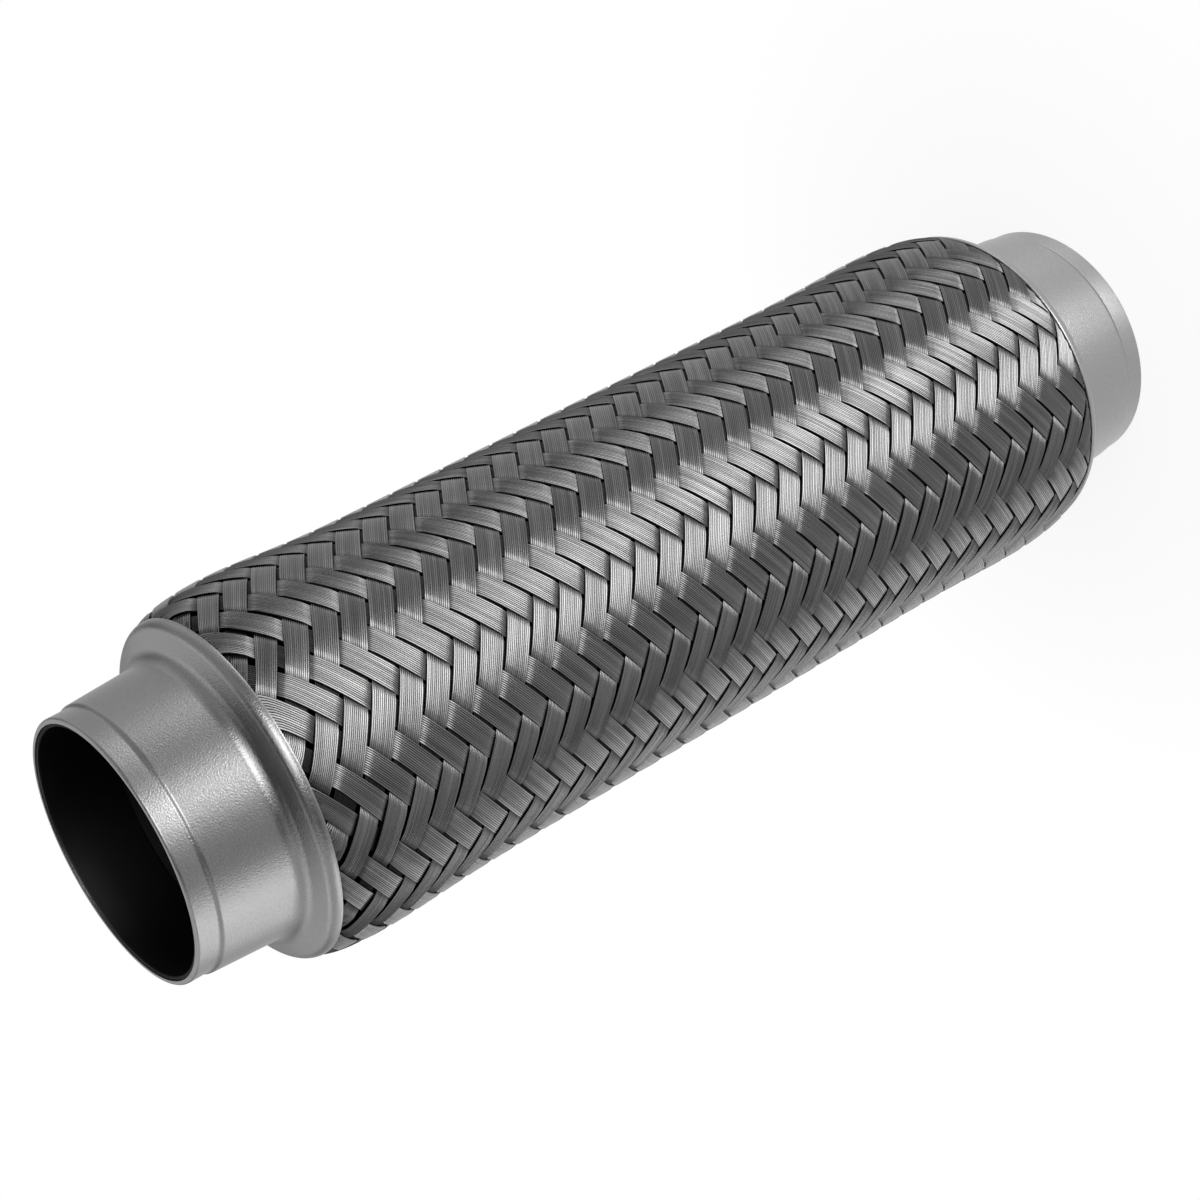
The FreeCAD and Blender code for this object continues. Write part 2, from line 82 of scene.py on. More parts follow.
class SleeveSizes(bpy.types.PropertyGroup):
    """Sizes of the woven wire sleeve."""

    strands_each_way: IntProperty(
        name="Strands each way", description="Strands that run the same way round the pipe",
        default=24, min=8)
    wires_in_strand: IntProperty(
        name="Wires in a strand", description="Wires that lie side by side in one strand",
        default=12, min=3)
    crossing_rows: IntProperty(
        name="Crossing rows", description="Rows of crossings between the two rims",
        default=64, min=8)
    pieces_of_row: IntProperty(
        name="Pieces of a row", description="Lengthwise pieces of a strand for each row",
        default=4, min=2)
    cover: FloatProperty(
        name="Cover", description="Share of the weave's pitch that a strand is wide",
        default=0.885, min=0.3, max=1.0, subtype="FACTOR")
    loose_cover: FloatProperty(
        name="Cover lost at the rim",
        description="About how much of that share a strand loses at the upper rim",
        default=0.13, min=0.0, max=0.5, subtype="FACTOR")
    loose_reach: FloatProperty(
        name="Loose reach", description="How far from the upper rim the strands lie loosely",
        default=0.010, unit="LENGTH")
    wire_height: FloatProperty(
        name="Wire height", description="Height of a wire's ridge above the valleys beside it",
        default=0.00016, unit="LENGTH")
    strand_thickness: FloatProperty(
        name="Strand thickness", description="Thickness of a strand from its ridges to its back",
        default=0.00042, unit="LENGTH")
    weave_height: FloatProperty(
        name="Weave height", description="How far a strand rises and dips from its middle",
        default=0.0003, unit="LENGTH")
    weave_steepness: FloatProperty(
        name="Weave steepness", description="Higher values make a strand dive more sharply",
        default=4.5, min=0.5)
    weave_arch: FloatProperty(
        name="Weave arch", description="Share of a strand's rise that is spread over its length",
        default=0.18, min=0.0, max=1.0, subtype="FACTOR")
    middle_radius: FloatProperty(
        name="Middle radius", description="Radius of the sleeve away from its ends",
        default=0.0359, unit="LENGTH")
    bulge_rise: FloatProperty(
        name="Bulge rise", description="How far the sleeve stands out near each rim",
        default=0.0008, unit="LENGTH")
    lean_rise: FloatProperty(
        name="One-sided rise",
        description="How much further one side stands out near the upper rim",
        default=0.00057, unit="LENGTH")
    lean_side: FloatProperty(
        name="Side that stands out", description="Angle about +Z of the side that stands out",
        default=math.radians(82.0), unit="ROTATION")
    bulge_depth: FloatProperty(
        name="Bulge depth", description="Depth at which the sleeve is widest",
        default=0.040, unit="LENGTH")
    bulge_width: FloatProperty(
        name="Bulge width", description="Length over which the bulge settles to the middle",
        default=0.016, unit="LENGTH")
    swell_power: FloatProperty(
        name="Swell power", description="Lower values make the sleeve rise more steeply at a rim",
        default=0.34)
    rim_wall: FloatProperty(
        name="Rim wall", description="From the rim's outside to the strands under it",
        default=0.00105, unit="LENGTH")
    rim_run: FloatProperty(
        name="Rim run", description="Length of the rim that the strands follow before they turn",
        default=0.00035, unit="LENGTH")
    rim_bend: FloatProperty(
        name="Rim bend",
        description="Radius at which the strands turn inwards under the shoulder",
        default=0.00115, unit="LENGTH")
    rim_turn: FloatProperty(
        name="Rim turn", description="Angle through which the strands turn under the shoulder",
        default=math.radians(70.0), unit="ROTATION")


class CapSizes(bpy.types.PropertyGroup):
    """Sizes of the pressed end caps."""

    wall: FloatProperty(
        name="Wall", description="Thickness of the pressed sheet", default=0.001, unit="LENGTH")
    lip_radius: FloatProperty(
        name="Lip radius", description="Outside radius at the mouth",
        default=0.027, unit="LENGTH")
    lip_length: FloatProperty(
        name="Lip length", description="Depth of the step behind the lip",
        default=0.0046, unit="LENGTH")
    step_length: FloatProperty(
        name="Step length", description="Length of the step behind the lip",
        default=0.0006, unit="LENGTH")
    neck_radius: FloatProperty(
        name="Neck radius", description="Outside radius just behind the step",
        default=0.0275, unit="LENGTH")
    root_radius: FloatProperty(
        name="Root radius", description="Outside radius where the neck meets the flank",
        default=0.0285, unit="LENGTH")
    neck_length: FloatProperty(
        name="Neck length", description="Depth at which the neck meets the flank",
        default=0.0214, unit="LENGTH")
    flank_depth: FloatProperty(
        name="Flank depth", description="Length of the flank along the axis",
        default=0.0023, unit="LENGTH")
    lip_round: FloatProperty(
        name="Lip round", description="Outside round of the mouth's edge",
        default=0.0006, unit="LENGTH")
    step_round: FloatProperty(
        name="Step round", description="Rounds of the step", default=0.0009, unit="LENGTH")
    root_round: FloatProperty(
        name="Root round", description="Round between the neck and the flank",
        default=0.0036, unit="LENGTH")
    shoulder_round: FloatProperty(
        name="Shoulder round", description="Round between the flank and the rim",
        default=0.0026, unit="LENGTH")
    rim_round: FloatProperty(
        name="Rim round", description="Round of the rim's edge", default=0.0003, unit="LENGTH")
    turns: IntProperty(
        name="Turns", description="Flat pieces round the cap", default=160, min=16)


class FinishColours(bpy.types.PropertyGroup):
    """Colours of the steel finishes."""

    cap_steel: FloatVectorProperty(
        name="Cap steel", description="Pressed sheet of the upper end cap",
        default=(0.2, 0.2, 0.2), size=3, min=0.0, max=1.0, subtype="COLOR")
    # Painted light: the lower cap is coloured lighter than the upper one for the brighter light
    # that falls on it
    lower_cap_painted_light_steel: FloatVectorProperty(
        name="Lower cap steel", description="Sheet of the lower end cap, painted lighter for the light on it",
        default=(0.34, 0.34, 0.34), size=3, min=0.0, max=1.0, subtype="COLOR")
    braid_wire: FloatVectorProperty(
        name="Braid wire", description="Drawn wire of the woven sleeve",
        default=(0.147, 0.147, 0.147), size=3, min=0.0, max=1.0, subtype="COLOR")
    sleeve_steel: FloatVectorProperty(
        name="Sleeve steel", description="Cut edge of the sleeves in the mouths",
        default=(0.35, 0.35, 0.35), size=3, min=0.0, max=1.0, subtype="COLOR")
    # Painted shade: the bore and the liner are coloured near black for the shade inside the
    # mouths
    bore_painted_shade_steel: FloatVectorProperty(
        name="Bore steel", description="Inside of the mouths and the liner, painted dark as shade",
        default=(0.06, 0.06, 0.06), size=3, min=0.0, max=1.0, subtype="COLOR")
    # Painted shade: the bellows is coloured near black for the shade under the sleeve, seen
    # through its gaps
    bellows_steel: FloatVectorProperty(
        name="Bellows steel", description="Thin sheet of the bellows under the sleeve",
        default=(0.04, 0.04, 0.04), size=3, min=0.0, max=1.0, subtype="COLOR")


class StudioSettings(bpy.types.PropertyGroup):
    """Camera and floor."""

    camera_place: FloatVectorProperty(
        name="Camera place", description="Where the camera stands",
        default=(0.45155, -0.06306, 0.39885), size=3, subtype="TRANSLATION", unit="LENGTH")
    camera_turn: FloatVectorProperty(
        name="Camera turn", description="Turn of the camera about X, Y and Z",
        default=(math.radians(-39.785), math.radians(49.460), math.radians(-55.308)),
        size=3, subtype="EULER", unit="ROTATION")
    lens: FloatProperty(
        name="Lens", description="Focal length in millimetres", default=78.29, unit="CAMERA")
    floor_radius: FloatProperty(
        name="Floor radius", description="Radius of the round floor", default=0.11, unit="LENGTH")


def settings(name):
    """The property group that the scene keeps under this name."""
    return getattr(bpy.context.scene, name)


def deselect_all():
    """Deselects every object."""
    bpy.ops.object.select_all(action="DESELECT")


def select_only(*pieces):
    """Selects these objects alone and makes the first one active."""
    deselect_all()
    for piece in pieces:
        piece.select_set(True)
    bpy.context.view_layer.objects.active = pieces[0]


def choose(mesh_object, wanted, mode="VERT"):
    """In edit mode, selects only the vertices or edges that the test wants."""
    bpy.ops.mesh.select_mode(type=mode)
    bpy.ops.mesh.select_all(action="DESELECT")
    shape = bmesh.from_edit_mesh(mesh_object.data)
    for part in shape.verts if mode == "VERT" else shape.edges:
        part.select_set(wanted(part))
    shape.select_flush_mode()
    bmesh.update_edit_mesh(mesh_object.data)


# The woven sleeve

# Least and most that a loose strand has of the lost cover, and its shift sideways there,
# where 2 is the weave's pitch
LOOSE_SHARES = (0.2, 1.6)
LOOSE_SHIFTS = (-0.12, 0.12)
LOOSE_SEED = 24
# Added to the numbers of falling strands, so that no rising one has the same
FALLING_NUMBERS = 100
# On the flat strand, which runs from -1 to 1, points past the first lie on a long side,
# and points closer than the second lie on one lengthwise line
LONG_SIDE = 0.999
SAME_PLACE = 1e-6


def sleeve_radius(sizes, z, angle):
    """Radius of the strands' tops: they swell past the rim and settle to the middle."""
    depth = np.minimum(z, PIPE_LENGTH - z)
    one_sided = (1 + np.cos(angle - sizes.lean_side)) / 2 * (z > PIPE_MIDDLE)
    swell = sizes.bulge_rise + sizes.lean_rise * one_sided
    settled = sizes.middle_radius + swell * np.exp(
        -((depth - sizes.bulge_depth) / sizes.bulge_width) ** 2)
    under_rim = RIM_RADIUS - sizes.rim_wall
    run = np.clip((depth - RIM_DEPTH) / (sizes.bulge_depth - RIM_DEPTH), 0.0, 1.0)
    widest = sizes.middle_radius + swell
    rising = under_rim + (widest - under_rim) * np.sin(math.pi / 2 * run) ** sizes.swell_power
    return np.where(depth > sizes.bulge_depth, settled, rising)


def tuck_under_rim(sizes, z, radius, inwards):
    """Radius and height of points that lie inwards of the sleeve's tops.

    Past the rim the strands turn inwards under the cap's shoulder.
    """
    depth = np.minimum(z, PIPE_LENGTH - z)
    bend_depth = RIM_DEPTH - sizes.rim_run
    past = np.maximum(bend_depth - depth, 0.0)
    turn = np.minimum(past / sizes.rim_bend, sizes.rim_turn)
    straight = past - turn * sizes.rim_bend
    arm = sizes.rim_bend - inwards
    bent_radius = (radius - sizes.rim_bend + arm * np.cos(turn)
                   - straight * math.sin(sizes.rim_turn))
    bent_depth = bend_depth - arm * np.sin(turn) - straight * math.cos(sizes.rim_turn)
    bent_z = np.where(z > PIPE_MIDDLE, PIPE_LENGTH - bent_depth, bent_depth)
    return np.where(past > 0, bent_radius, radius - inwards), np.where(past > 0, bent_z, z)


def over_and_under(sizes, place):
    """1 where a strand lies over two others, -1 where it lies under two; period 4."""
    wave = np.cos(math.pi / 2 * place)
    dive = np.tanh(sizes.weave_steepness * wave)
    return dive + sizes.weave_arch * (wave - dive)


def slope_of_weave(sizes, place):
    """How fast a strand rises or dips, for each step along it."""
    dive = np.tanh(sizes.weave_steepness * np.cos(math.pi / 2 * place))
    steepness = (1 - sizes.weave_arch) * sizes.weave_steepness * (1 - dive ** 2)
    return -math.pi / 2 * np.sin(math.pi / 2 * place) * (steepness + sizes.weave_arch)


def cover_and_shift(sizes, middle_row, row_height, draws):
    """How wide a strand is and how far it lies off its place: both vary at the upper rim."""
    rim_distance = PIPE_MIDDLE - RIM_DEPTH - np.abs(middle_row) * row_height
    looseness = np.exp(-(rim_distance / sizes.loose_reach) ** 2) * (middle_row > 0)
    cover = sizes.cover - sizes.loose_cover * looseness * draws.uniform(*LOOSE_SHARES)
    return cover, looseness * draws.uniform(*LOOSE_SHIFTS)


def strand_directions(sizes, lean, angle, row_height):
    """Unit vectors along a strand and across it, both on the pipe's surface."""
    around = np.stack([-np.sin(angle), np.cos(angle), np.zeros(len(angle))], axis=1)
    upwards = np.array([0.0, 0.0, 1.0])
    step_width = sizes.middle_radius * math.pi / sizes.strands_each_way
    length = math.hypot(step_width, row_height)
    run = (around * step_width + lean * upwards * row_height) / length
    sideways = (around * row_height - lean * upwards * step_width) / length
    return run, sideways


def outward_directions(angle, run, rise):
    """Unit vectors square to a strand that rises this much for each length along it."""
    outward = np.stack([np.cos(angle), np.sin(angle), np.zeros(len(angle))], axis=1)
    outward = outward - run * rise[:, None]
    return outward / np.linalg.norm(outward, axis=1)[:, None]


def model_ribbon(sizes):
    """A flat strand with its wires side by side, from -1 to 1 both across and along.

    It is one row longer than the sleeve, half a row at each end.
    """
    across = 2 * sizes.wires_in_strand
    along = sizes.pieces_of_row * (sizes.crossing_rows + 1)
    deselect_all()
    bpy.ops.mesh.primitive_grid_add(
        x_subdivisions=across, y_subdivisions=along, size=2.0, calc_uvs=False)
    ribbon = bpy.context.object
    bpy.ops.object.mode_set(mode="EDIT")
    choose(ribbon, lambda vert: round((vert.co.x + 1) / 2 * across) % 2 == 1)
    bpy.ops.transform.translate(value=(0, 0, sizes.wire_height))
    choose(ribbon, lambda edge: edge.is_boundary and
           all(abs(vert.co.x) > LONG_SIDE for vert in edge.verts), mode="EDGE")
    drop = sizes.strand_thickness - sizes.wire_height
    bpy.ops.mesh.extrude_edges_move(TRANSFORM_OT_translate={"value": (0, 0, -drop)})
    bpy.ops.mesh.bridge_edge_loops()
    choose(ribbon, lambda edge: edge.is_boundary, mode="EDGE")
    bpy.ops.mesh.edge_face_add()
    bpy.ops.mesh.select_all(action="SELECT")
    bpy.ops.mesh.normals_make_consistent(inside=False)
    choose(ribbon, lambda edge: abs(edge.verts[0].co.x - edge.verts[1].co.x) < SAME_PLACE,
           mode="EDGE")
    bpy.ops.mesh.mark_sharp()
    bpy.ops.object.mode_set(mode="OBJECT")
    bpy.ops.object.shade_smooth()
    return ribbon


def keep_attribute(mesh, name, values):
    """Keeps a number or a vector for each vertex as an attribute that materials read."""
    is_vector = values.ndim == 2
    kept = mesh.attributes.new(name, "FLOAT_VECTOR" if is_vector else "FLOAT", "POINT")
    kept.data.foreach_set("vector" if is_vector else "value", values.ravel())


def lay_strand(sizes, ribbon, rising, number, draws):
    """A copy of the ribbon, laid on the pipe as one strand of the rising or falling family."""
    select_only(ribbon)
    bpy.ops.object.duplicate()
    strand = bpy.context.object
    mesh = strand.data
    count = len(mesh.vertices)
    flat = np.empty(count * 3)
    mesh.vertices.foreach_get("co", flat)
    across, along, lift = flat.reshape(count, 3).T
    # Rows are counted both ways from the middle
    last_row = sizes.crossing_rows / 2
    row_height = (PIPE_MIDDLE - RIM_DEPTH) / last_row
    middle_row = along * (last_row + 0.5)
    cover, shift = cover_and_shift(sizes, middle_row, row_height, draws)
    # A point's way across the strand goes half to its step and half to its row
    wide = across * cover + shift
    first_step = 2 * number + 1
    lean = 1 if rising else -1
    progress = lean * middle_row + first_step
    step = progress + wide / 2
    row = lean * (progress - first_step - wide / 2)
    # The middle of a strand's length on top lies half a step past a whole one
    phase = progress - 0.5
    height = over_and_under(sizes, phase) * lean
    z = PIPE_MIDDLE + row * row_height
    angle = step * math.pi / sizes.strands_each_way
    inwards = sizes.weave_height * (1 - height) + sizes.wire_height - lift
    radius, z = tuck_under_rim(sizes, z, sleeve_radius(sizes, z, angle), inwards)
    laid = np.stack([radius * np.cos(angle), radius * np.sin(angle), z], axis=1)
    mesh.vertices.foreach_set("co", laid.ravel())
    kept_number = float(number + (0 if rising else FALLING_NUMBERS))
    place = np.stack([(across + 1) / 2 * sizes.wires_in_strand, along * PIPE_MIDDLE,
                      np.full(count, kept_number)], axis=1)
    run, sideways = strand_directions(sizes, lean, angle, row_height)
    slope = slope_of_weave(sizes, phase) * lean * sizes.weave_height
    step_length = np.hypot(radius * math.pi / sizes.strands_each_way, row_height)
    keep_attribute(mesh, "wire_place", place)
    keep_attribute(mesh, "wire_side", sideways)
    keep_attribute(mesh, "wire_out", outward_directions(angle, run, slope / step_length))
    keep_attribute(mesh, "weave_level", height)
    mesh.update()
    return strand


def join_strands(strands, name):
    """One piece of all these strands, with its faces outward."""
    select_only(*strands)
    bpy.ops.object.join()
    piece = bpy.context.object
    piece.name = name
    bpy.ops.object.mode_set(mode="EDIT")
    bpy.ops.mesh.select_all(action="SELECT")
    bpy.ops.mesh.normals_make_consistent(inside=False)
    bpy.ops.object.mode_set(mode="OBJECT")
    return piece


class PIPE_OT_weave_sleeve(bpy.types.Operator):
    """Weaves the wire sleeve, strand by strand"""

    bl_idname = "pipe.weave_sleeve"
    bl_label = "Weave Sleeve"

    def execute(self, context):
        sizes = settings("pipe_sleeve")
        ribbon = model_ribbon(sizes)
        steel = wire_material()
        draws = np.random.default_rng(LOOSE_SEED)
        half_round = sizes.strands_each_way // 2
        for family, rising in (("rising", True), ("falling", False)):
            for half, first in (("front", 0), ("back", half_round)):
                numbers = range(first, first + half_round)
                strands = [lay_strand(sizes, ribbon, rising, number, draws) for number in numbers]
                piece = join_strands(strands, f"braid_{family}_{half}")
                piece.data.materials.append(steel)
                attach(piece, "root")
                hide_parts("outer_braid")
        bpy.data.objects.remove(ribbon)
        return {"FINISHED"}


# The end caps

# Points of the spun outline that lie closer are merged
MERGE_DISTANCE = 0.000001
# Edges that turn by more than this are shaded as sharp
SHARP_ANGLE = math.radians(30.0)


def rounded_outline(corners):
    """Places round a closed outline whose corners are (radius, depth, round, pieces)."""
    places = []
    for number, (x, y, size, pieces) in enumerate(corners):
        corner = np.array([x, y])
        if not size:
            places.append(corner)
            continue
        before = np.array(corners[number - 1][:2]) - corner
        after = np.array(corners[(number + 1) % len(corners)][:2]) - corner
        before /= np.linalg.norm(before)
        after /= np.linalg.norm(after)
        half = math.acos(np.clip(before @ after, -1, 1)) / 2
        middle = (before + after) / np.linalg.norm(before + after)
        centre = corner + middle * size / math.sin(half)
        start = corner + before * size / math.tan(half) - centre
        end = corner + after * size / math.tan(half) - centre
        opening = math.acos(np.clip(start @ end / size ** 2, -1, 1))
        for piece in range(pieces + 1):
            share = piece / pieces
            places.append(centre + (math.sin((1 - share) * opening) * start
                                    + math.sin(share * opening) * end) / math.sin(opening))
    return places


def model_cap(sizes):
    """A pressed cap with its mouth at the origin and the rest below, spun from its outline."""
    wall = sizes.wall
    step_end = sizes.lip_length + sizes.step_length
    flank_end = sizes.neck_length + sizes.flank_depth
    flank_angle = math.atan2(RIM_RADIUS - sizes.root_radius, sizes.flank_depth)
    step_angle = math.atan2(sizes.neck_radius - sizes.lip_radius, sizes.step_length)
    # How much deeper the inside's corners lie than the outside's
    flank_shift = wall * math.tan(flank_angle / 2)
    step_shift = wall * math.tan(step_angle / 2)
    outline = rounded_outline([
        (sizes.lip_radius, 0.0, sizes.lip_round, 8),
        (sizes.lip_radius, sizes.lip_length, sizes.step_round, 6),
        (sizes.neck_radius, step_end, sizes.step_round, 6),
        (sizes.root_radius, sizes.neck_length, sizes.root_round, 16),
        (RIM_RADIUS, flank_end, sizes.shoulder_round, 14),
        (RIM_RADIUS, RIM_DEPTH, sizes.rim_round, 4),
        (RIM_RADIUS - wall, RIM_DEPTH, 0.0, 0),
        (RIM_RADIUS - wall, flank_end + flank_shift, sizes.shoulder_round - wall, 8),
        (sizes.root_radius - wall, sizes.neck_length + flank_shift, sizes.root_round + wall, 8),
        (sizes.neck_radius - wall, step_end + step_shift, 0.0, 0),
        (sizes.lip_radius - wall, sizes.lip_length + step_shift, 0.0, 0),
        (sizes.lip_radius - wall, 0.0, 0.0, 0),
    ])
    deselect_all()
    bpy.ops.mesh.primitive_circle_add(vertices=len(outline), radius=1.0, fill_type="NOTHING")
    cap = bpy.context.object
    for vert, (radius, depth) in zip(cap.data.vertices, outline):
        vert.co = (radius, 0.0, -depth)
    bpy.ops.object.mode_set(mode="EDIT")
    bpy.ops.mesh.select_all(action="SELECT")
    bpy.ops.mesh.spin(steps=sizes.turns, angle=2 * math.pi, center=(0, 0, 0), axis=(0, 0, 1))
    bpy.ops.mesh.select_all(action="SELECT")
    bpy.ops.mesh.remove_doubles(threshold=MERGE_DISTANCE)
    bpy.ops.mesh.normals_make_consistent(inside=False)
    bpy.ops.mesh.select_all(action="DESELECT")
    bpy.ops.mesh.edges_select_sharp(sharpness=SHARP_ANGLE)
    bpy.ops.mesh.mark_sharp()
    bpy.ops.object.mode_set(mode="OBJECT")
    bpy.ops.object.shade_smooth()
    return cap


class PIPE_OT_press_caps(bpy.types.Operator):
    """Presses the two end caps"""

    bl_idname = "pipe.press_caps"
    bl_label = "Press Caps"

    def execute(self, context):
        finish = settings("pipe_finish")
        lower = model_cap(settings("pipe_caps"))
        bpy.ops.object.duplicate()
        upper = context.object
        upper.location.z = PIPE_LENGTH
        lower.rotation_euler.x = math.pi
        # The lower cap's lighter colour is painted light
        for piece, end, colour in ((upper, "upper", finish.cap_steel),
                                   (lower, "lower", finish.lower_cap_painted_light_steel)):
            piece.name = "cap_pressed_" + end
            select_only(piece)
            bpy.ops.object.transform_apply(location=True, rotation=True, scale=True)
            piece.data.materials.append(cap_material("cap_satin_" + end, colour))
            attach(piece, "root")
            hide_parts("end_cap_" + end)
        return {"FINISHED"}


# Finishes

# How far a wire's normal turns at its sides, and how far single places stray from that
WIRE_ROUNDNESS = 0.6
WIRE_UNEVENNESS = 0.04
# Least square of the normal's outward part, so that no normal lies flat
LEAST_OUTWARD = 0.02
# How far a metre along the axis is stretched for the noises, and the first one's scale
NOISE_PER_METRE = 140.0
WANDER_SCALE = 1.37
# Scale of the streaks across the wires, along them and from strand to strand
STREAK_SCALES = (0.33, 0.5, 3.1)
# Values of a noise that its darkest and lightest places reach
NOISE_SPAN = (0.3, 0.7)
# Higher values make the painted shade in the valleys between wires narrower
VALLEY_SHADE_POWER = 6.0
# Darkest and lightest tone of single wires and of the streaks, as shares of the colour
WIRE_TONES = (0.78, 1.15)
STREAK_TONES = (0.82, 1.2)
# Tone on a wire's back, and painted shade in a valley between wires
VALLEY_SHADE_TONES = (1.05, 0.05)
# Levels between which a strand comes out of the shade of the others, and the tones there
SHADE_LEVELS = (-0.75, 0.35)
SHADE_TONES = (0.1, 1.0)
# Inside the bore the sleeves' colour is painted shade
# The mouth sleeves' bore, and how far outside it their bright cut edge begins and is full
BORE_RADIUS = 0.02525
CUT_EDGE = (0.00004, 0.00009)


def feed(tree, socket, source):
    """Links a socket to another node's, or gives it a value."""
    if isinstance(source, bpy.types.NodeSocket):
        tree.links.new(source, socket)
    else:
        socket.default_value = source


def add_node(tree, kind, *sources, **values):
    """A node whose sockets take the sources in order.

    Values go by name to its settings, or else to its sockets.
    """
    node = tree.nodes.new("ShaderNode" + kind)
    for name, value in values.items():
        if hasattr(node, name):
            setattr(node, name, value)
        else:
            feed(tree, node.inputs[name.replace("_", " ")], value)
    for socket, source in zip(node.inputs, sources):
        feed(tree, socket, source)
    return node


def compute(tree, operation, *sources, use_clamp=False):
    """The result of a Math node."""
    node = add_node(tree, "Math", *sources, operation=operation, use_clamp=use_clamp)
    return node.outputs[0]


def compute_vector(tree, operation, *sources, **values):
    """The result of a Vector Math node."""
    node = add_node(tree, "VectorMath", *sources, operation=operation, **values)
    return node.outputs["Value" if operation == "LENGTH" else "Vector"]


def remap(tree, value, span, tones, **values):
    """A value that runs over the span, put on the scale of the tones."""
    return add_node(tree, "MapRange", value, *span, *tones, **values).outputs[0]


def new_material(name, **values):
    """A material, its node tree and its Principled shader, whose sockets take the values."""
    material = bpy.data.materials.new(name)
    material.use_nodes = True
    tree = material.node_tree
    shader = tree.nodes["Principled BSDF"]
    for socket, value in values.items():
        shader.inputs[socket.replace("_", " ")].default_value = value
    return material, tree, shader


def new_group(name, inputs, outputs):
    """A shader node group with its inlet and outlet; sockets are given as name and kind."""
    group = bpy.data.node_groups.new(name, "ShaderNodeTree")
    for in_out, sockets in (("INPUT", inputs), ("OUTPUT", outputs)):
        for socket, kind in sockets.items():
            group.interface.new_socket(socket, in_out=in_out, socket_type="NodeSocket" + kind)
    return group, group.nodes.new("NodeGroupInput"), group.nodes.new("NodeGroupOutput")


def round_wire_group():
    """Node group: the normal of round wires side by side, their valleys for painted shade, and
    streaks.
    """
    group, inlet, outlet = new_group(
        "round_wires", {"Roundness": "Float", "Unevenness": "Float"},
        {"Normal": "Vector", "Valley shade": "Float", "Streak": "Float"})
    place, side, out = (add_node(group, "Attribute", attribute_name=name).outputs["Vector"]
                        for name in ("wire_place", "wire_side", "wire_out"))
    parts = add_node(group, "SeparateXYZ", place).outputs
    # From -1 to 1 across each wire
    across = compute(group, "MULTIPLY_ADD", compute(group, "FRACT", parts["X"]), 2.0, -1.0)
    curve = compute(group, "MULTIPLY", across, inlet.outputs["Roundness"])
    wire = compute(group, "FLOOR", parts["X"])
    along = compute(group, "MULTIPLY", parts["Y"], NOISE_PER_METRE)
    spot = add_node(group, "CombineXYZ", wire, along, parts["Z"]).outputs[0]
    wander = add_node(group, "TexNoise", Vector=spot, Scale=WANDER_SCALE, Detail=2.0)
    tilt = remap(group, wander.outputs["Fac"], NOISE_SPAN, (-1.0, 1.0))
    # The normal's part across the wire, and from it the part outwards
    sine = compute(group, "MULTIPLY_ADD", tilt, inlet.outputs["Unevenness"], curve)
    rest = compute(group, "SUBTRACT", 1.0, compute(group, "MULTIPLY", sine, sine))
    cosine = compute(group, "SQRT", compute(group, "MAXIMUM", rest, LEAST_OUTWARD))
    sideways = compute_vector(group, "SCALE", side, Scale=sine)
    outward = compute_vector(group, "SCALE", out, Scale=cosine)
    total = compute_vector(group, "ADD", sideways, outward)
    feed(group, outlet.inputs["Normal"], compute_vector(group, "NORMALIZE", total))
    # The valleys between wires, where the colour gets painted shade
    valley_shade = compute(group, "POWER", compute(group, "ABSOLUTE", across), VALLEY_SHADE_POWER,
                     use_clamp=True)
    feed(group, outlet.inputs["Valley shade"], valley_shade)
    bundle = compute_vector(group, "MULTIPLY", spot, STREAK_SCALES)
    streak = add_node(group, "TexNoise", Vector=bundle, Scale=1.0, Detail=3.0)
    feed(group, outlet.inputs["Streak"], streak.outputs["Fac"])
    return group


def wire_material():
    """Drawn wire: each wire's own tone and streaks, with painted shade in valleys and dips."""
    material, tree, shader = new_material("braid_wire_steel", Metallic=1.0, Roughness=0.27)
    wires = add_node(tree, "Group", node_tree=round_wire_group(),
                     Roundness=WIRE_ROUNDNESS, Unevenness=WIRE_UNEVENNESS)
    feed(tree, shader.inputs["Normal"], wires.outputs["Normal"])
    place = add_node(tree, "Attribute", attribute_name="wire_place")
    parts = add_node(tree, "SeparateXYZ", place.outputs["Vector"]).outputs
    cell = add_node(tree, "CombineXYZ", compute(tree, "FLOOR", parts["X"]), parts["Z"])
    single = add_node(tree, "TexWhiteNoise", noise_dimensions="2D", Vector=cell.outputs[0])
    level = add_node(tree, "Attribute", attribute_name="weave_level")
    tone = remap(tree, single.outputs["Value"], (0.0, 1.0), WIRE_TONES)
    # Painted shade darkens the valleys between wires and the places where a strand dips under
    # others
    for factor in (remap(tree, wires.outputs["Valley shade"], (0.0, 1.0), VALLEY_SHADE_TONES),
                   remap(tree, wires.outputs["Streak"], NOISE_SPAN, STREAK_TONES),
                   remap(tree, level.outputs["Fac"], SHADE_LEVELS, SHADE_TONES,
                         interpolation_type="SMOOTHSTEP")):
        tone = compute(tree, "MULTIPLY", tone, factor)
    colour = compute_vector(tree, "SCALE", settings("pipe_finish").braid_wire, Scale=tone)
    feed(tree, shader.inputs["Base Color"], colour)
    return material


def mottle_group():
    """Node group, built once: a noise on Object coordinates as a height and as a tone."""
    if "mottle" in bpy.data.node_groups:
        return bpy.data.node_groups["mottle"]
    group, inlet, outlet = new_group(
        "mottle", {"Scale": "Float", "Detail": "Float", "Darkest": "Float", "Lightest": "Float"},
        {"Height": "Float", "Tone": "Float"})
    place = add_node(group, "TexCoord")
    noise = add_node(group, "TexNoise", Vector=place.outputs["Object"],
                     Scale=inlet.outputs["Scale"], Detail=inlet.outputs["Detail"])
    feed(group, outlet.inputs["Height"], noise.outputs["Fac"])
    tones = (inlet.outputs["Darkest"], inlet.outputs["Lightest"])
    feed(group, outlet.inputs["Tone"], remap(group, noise.outputs["Fac"], (0.0, 1.0), tones))
    return group


